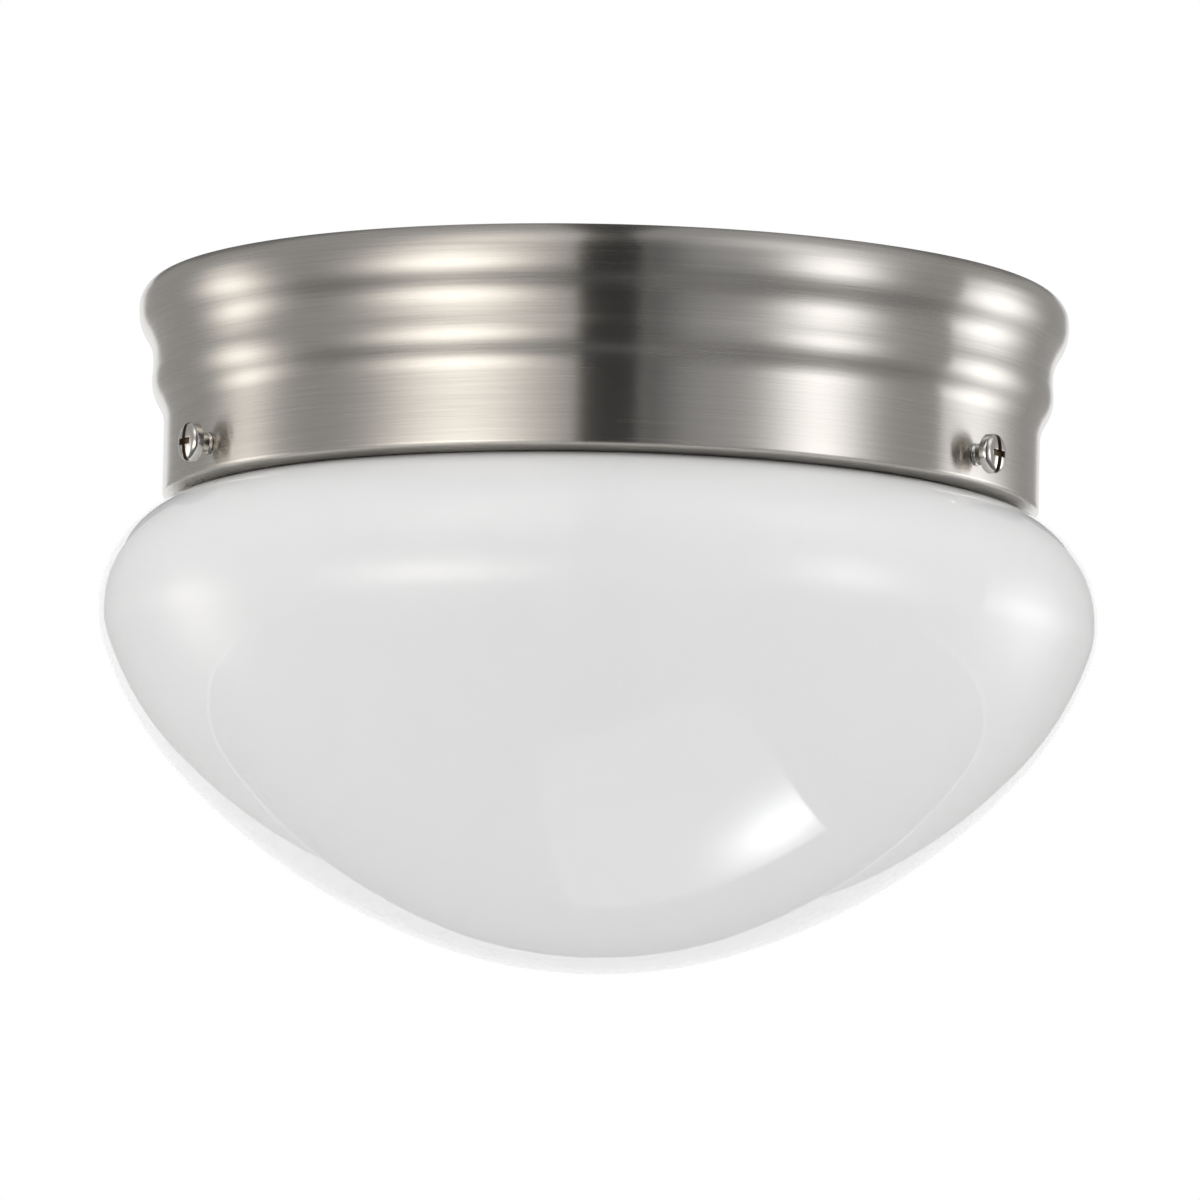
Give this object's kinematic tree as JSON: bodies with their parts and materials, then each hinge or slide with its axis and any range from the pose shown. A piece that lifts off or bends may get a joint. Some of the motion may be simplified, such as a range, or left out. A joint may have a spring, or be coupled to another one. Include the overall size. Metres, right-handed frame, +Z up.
{
  "type": "flush mount ceiling light",
  "caption": "Flush mount ceiling light with a brushed nickel pan, an opal mushroom glass held by thumb screws, and a lampholder with bulb inside.",
  "frame": {"origin": "centre of the canopy pan's rim, in the plane of the ceiling, midway between the crossbar's slots", "axes": "+Z up into the ceiling along the lamp's round axis, the light hangs to -Z, the pictured side faces -Y and the crossbar lies along Y"},
  "size_m": [0.1906, 0.1906, 0.1306],
  "materials": {
    "brushed_nickel": "brushed nickel plate on spun steel",
    "opal_glass": "glossy opal white glass",
    "polished_nickel": "polished nickel plate",
    "zinc_steel": "bright zinc plate",
    "green_steel": "green plated",
    "copper": "bare copper",
    "glass_fibre": "soft glass fibre mat",
    "black_nylon": "moulded nylon",
    "glazed_porcelain": "glazed white porcelain",
    "shell_brass": "drawn brass",
    "frosted_glass": "frosted inside",
    "cap_aluminium": "rolled thread",
    "black_glass": "black vitrified insulator",
    "solder": "solder button",
    "black_insulation": "black wire insulation",
    "white_insulation": "white wire insulation"
  },
  "bodies": {
    "canopy": {"canopy_pan": "brushed_nickel", "thumb_screw_nut_1": "zinc_steel", "thumb_screw_nut_2": "zinc_steel", "thumb_screw_nut_3": "zinc_steel", "insulation_pad": "glass_fibre", "crossbar": "zinc_steel", "pan_screw_1": "zinc_steel", "pan_screw_2": "zinc_steel", "ground_screw": "green_steel", "ground_stud": "copper", "ground_wire": "copper", "wire_bushing": "black_nylon", "lampholder_bracket": "zinc_steel", "bracket_rivet_1": "zinc_steel", "bracket_rivet_2": "zinc_steel", "lampholder_body": "glazed_porcelain", "lampholder_shell": "shell_brass", "lampholder_eyelet": "shell_brass", "center_contact": "shell_brass", "lead_black": "black_insulation", "lead_white": "white_insulation"},
    "shade": {"glass_shade": "opal_glass"},
    "screw_1": {"thumb_screw_1": "polished_nickel"},
    "screw_2": {"thumb_screw_2": "polished_nickel"},
    "screw_3": {"thumb_screw_3": "polished_nickel"},
    "bulb": {"bulb_envelope": "frosted_glass", "bulb_cap": "cap_aluminium", "bulb_insulator": "black_glass", "bulb_contact": "solder"}
  },
  "joints": [
    {"name": "shade_lower", "type": "slide", "parent": "canopy", "child": "shade", "axis": [0, 0, -1], "range_m": [0, 0.015]},
    {"name": "screw_1_out", "type": "slide", "parent": "canopy", "child": "screw_1", "axis": [-0.887, -0.4617, 0], "range_m": [0, 0.01]},
    {"name": "screw_2_out", "type": "slide", "parent": "canopy", "child": "screw_2", "axis": [0.8434, -0.5373, 0], "range_m": [0, 0.01]},
    {"name": "screw_3_out", "type": "slide", "parent": "canopy", "child": "screw_3", "axis": [0.0436, 0.999, 0], "range_m": [0, 0.01]},
    {"name": "bulb_turn", "type": "hinge", "parent": "canopy", "child": "bulb", "pos_m": [-0.056, 0, -0.036], "axis": [0.9659, 0, -0.2588], "range_deg": [0, 1080]}
  ],
  "couplings": [
    {"joint": "screw_1_out", "follows": "shade_lower", "ratio": 0.6666},
    {"joint": "screw_2_out", "follows": "shade_lower", "ratio": 0.6666},
    {"joint": "screw_3_out", "follows": "shade_lower", "ratio": 0.6666}
  ]
}
